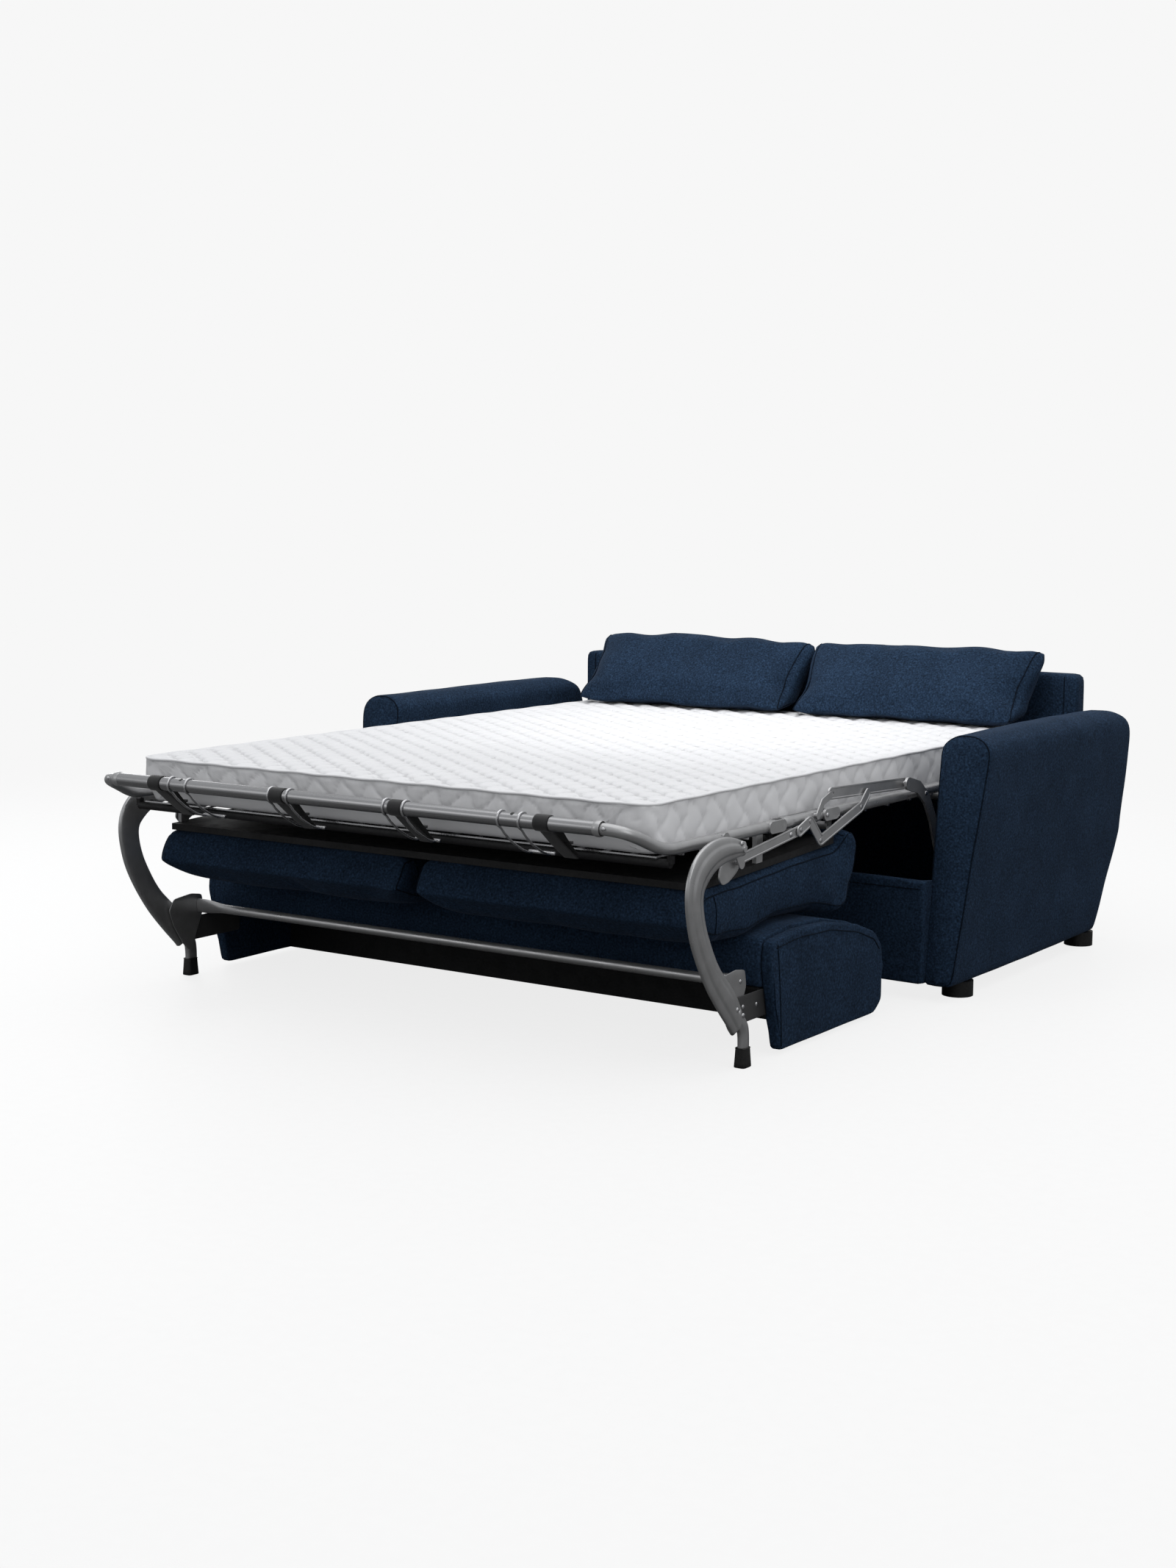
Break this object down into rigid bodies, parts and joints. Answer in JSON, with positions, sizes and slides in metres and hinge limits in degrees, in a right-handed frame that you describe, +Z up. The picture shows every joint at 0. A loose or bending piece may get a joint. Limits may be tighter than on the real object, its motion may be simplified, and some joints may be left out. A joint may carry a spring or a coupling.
{
  "type": "futon sofa bed",
  "caption": "Folding sofa bed opened flat: padded arms, steel frame on curved legs, three-section mattress, seat cushions and backrest stored underneath.",
  "frame": {"origin": "middle of the whole object's box, on the floor, opened as a bed", "axes": "+X towards the right arm, +Y towards the back, +Z up"},
  "size_m": [1.8754, 2.1493, 0.7855],
  "materials": {
    "fabric_navy": "woven navy upholstery fabric, matt",
    "mattress_white": "quilted white knitted ticking",
    "frame_paint": "satin dark grey paint",
    "bow_steel": "brushed steel tube",
    "wire_steel": "bright spring wire",
    "link_steel": "zinc plated flat bar",
    "board_black": "black lining board",
    "rubber_black": "matt black rubber",
    "webbing_black": "black woven webbing",
    "foot_black": "matt black plastic"
  },
  "bodies": {
    "base": {"arm_left": "fabric_navy", "arm_right": "fabric_navy", "arm_feet": "foot_black", "back_panel": "fabric_navy", "plinth": "fabric_navy", "back_brackets": "link_steel", "side_plates": "frame_paint", "base_cross_tube": "frame_paint", "plate_bolts": "link_steel"},
    "crank": {"cranks": "link_steel", "crank_pins": "link_steel"},
    "swing": {"swing_arm_left": "frame_paint", "swing_arm_right": "frame_paint", "swing_pins": "link_steel"},
    "middle": {"middle_rail_left": "frame_paint", "middle_rail_right": "frame_paint", "middle_cross_tubes": "frame_paint", "middle_mesh": "wire_steel", "middle_pins": "link_steel", "mattress_middle": "mattress_white", "mattress_rear_fold": "mattress_white"},
    "link": {"link_rail_left": "frame_paint", "link_rail_right": "frame_paint", "link_cross_tube": "frame_paint", "mattress_link": "mattress_white", "mattress_front_folds": "mattress_white"},
    "foot": {"foot_rail_left": "frame_paint", "foot_rail_right": "frame_paint", "front_bow": "bow_steel", "foot_cross_tubes": "frame_paint", "foot_mesh": "wire_steel", "front_straps": "webbing_black", "front_hooks": "wire_steel", "seat_board": "board_black", "foot_brackets": "frame_paint", "foot_pins": "link_steel", "seat_cushion_left": "fabric_navy", "seat_cushion_right": "fabric_navy", "mattress_foot": "mattress_white"},
    "backrest": {"leg_left": "frame_paint", "leg_right": "frame_paint", "rubber_boots": "rubber_black", "leg_gussets": "frame_paint", "leg_cross_bar": "frame_paint", "rod_levers": "link_steel", "backrest_side_left": "fabric_navy", "backrest_side_right": "fabric_navy", "backrest_pad": "fabric_navy", "backrest_rear_pad": "fabric_navy", "backrest_lining": "board_black"},
    "head": {"head_rail_left": "frame_paint", "head_rail_right": "frame_paint", "head_end_tube": "frame_paint", "head_mesh": "wire_steel", "mattress_head": "mattress_white"},
    "upper_rods": {"upper_rods": "link_steel"},
    "leg_rods": {"leg_rods": "link_steel"},
    "bent_links": {"bent_links": "link_steel"},
    "cushion_left": {"back_cushion_left": "fabric_navy"},
    "cushion_right": {"back_cushion_right": "fabric_navy"}
  },
  "joints": [
    {"name": "fold", "type": "hinge", "parent": "link", "child": "foot", "pos_m": [0, -0.4935, 0.475], "axis": [1, 0, 0], "range_deg": [-90, 0]},
    {"name": "crank_turn", "type": "hinge", "parent": "base", "child": "crank", "pos_m": [0, 0.37, 0.2063], "axis": [1, 0, 0], "range_deg": [0, 242.97]},
    {"name": "swing_turn", "type": "hinge", "parent": "crank", "child": "swing", "pos_m": [0, 0.5015, 0.3], "axis": [1, 0, 0], "range_deg": [-395.36, 0]},
    {"name": "middle_level", "type": "hinge", "parent": "swing", "child": "middle", "pos_m": [0, 0.1665, 0.475], "axis": [1, 0, 0], "range_deg": [0, 152.39]},
    {"name": "link_fold", "type": "hinge", "parent": "middle", "child": "link", "pos_m": [0, -0.2985, 0.475], "axis": [1, 0, 0], "range_deg": [-90.02, 0], "deforming": ["mattress_front_folds"]},
    {"name": "head_fold", "type": "hinge", "parent": "middle", "child": "head", "pos_m": [0, 0.3815, 0.475], "axis": [1, 0, 0], "range_deg": [0, 90.02], "deforming": ["mattress_rear_fold"]},
    {"name": "backrest_turn", "type": "hinge", "parent": "foot", "child": "backrest", "pos_m": [0, -0.7315, 0.457], "axis": [1, 0, 0], "range_deg": [-90.02, 0]},
    {"name": "upper_rod_turn", "type": "hinge", "parent": "swing", "child": "upper_rods", "pos_m": [0, 0.0765, 0.507], "axis": [1, 0, 0], "range_deg": [0, 140.39]},
    {"name": "leg_rod_turn", "type": "hinge", "parent": "backrest", "child": "leg_rods", "pos_m": [0, -0.7085, 0.423], "axis": [1, 0, 0], "range_deg": [0, 90.02]},
    {"name": "bent_link_turn", "type": "hinge", "parent": "link", "child": "bent_links", "pos_m": [0, -0.3865, 0.472], "axis": [1, 0, 0], "range_deg": [0, 90.02]},
    {"name": "cushion_left_lift", "type": "hinge", "parent": "middle", "child": "cushion_left", "pos_m": [0, 0.2083, 1.1096], "axis": [1, 0, 0], "range_deg": [0, 216.69]},
    {"name": "cushion_right_lift", "type": "hinge", "parent": "middle", "child": "cushion_right", "pos_m": [0, 0.2083, 1.1096], "axis": [1, 0, 0], "range_deg": [0, 216.69]}
  ],
  "couplings": [
    {"joint": "crank_turn", "follows": "fold", "ratio": -2.6991},
    {"joint": "swing_turn", "follows": "fold", "ratio": 4.392},
    {"joint": "middle_level", "follows": "fold", "ratio": -1.6929},
    {"joint": "link_fold", "follows": "fold", "ratio": 1},
    {"joint": "head_fold", "follows": "fold", "ratio": -1},
    {"joint": "backrest_turn", "follows": "fold", "ratio": 1},
    {"joint": "upper_rod_turn", "follows": "fold", "ratio": -1.5596},
    {"joint": "leg_rod_turn", "follows": "fold", "ratio": -1},
    {"joint": "bent_link_turn", "follows": "fold", "ratio": -1},
    {"joint": "cushion_left_lift", "follows": "fold", "ratio": -2.4072},
    {"joint": "cushion_right_lift", "follows": "fold", "ratio": -2.4072}
  ]
}
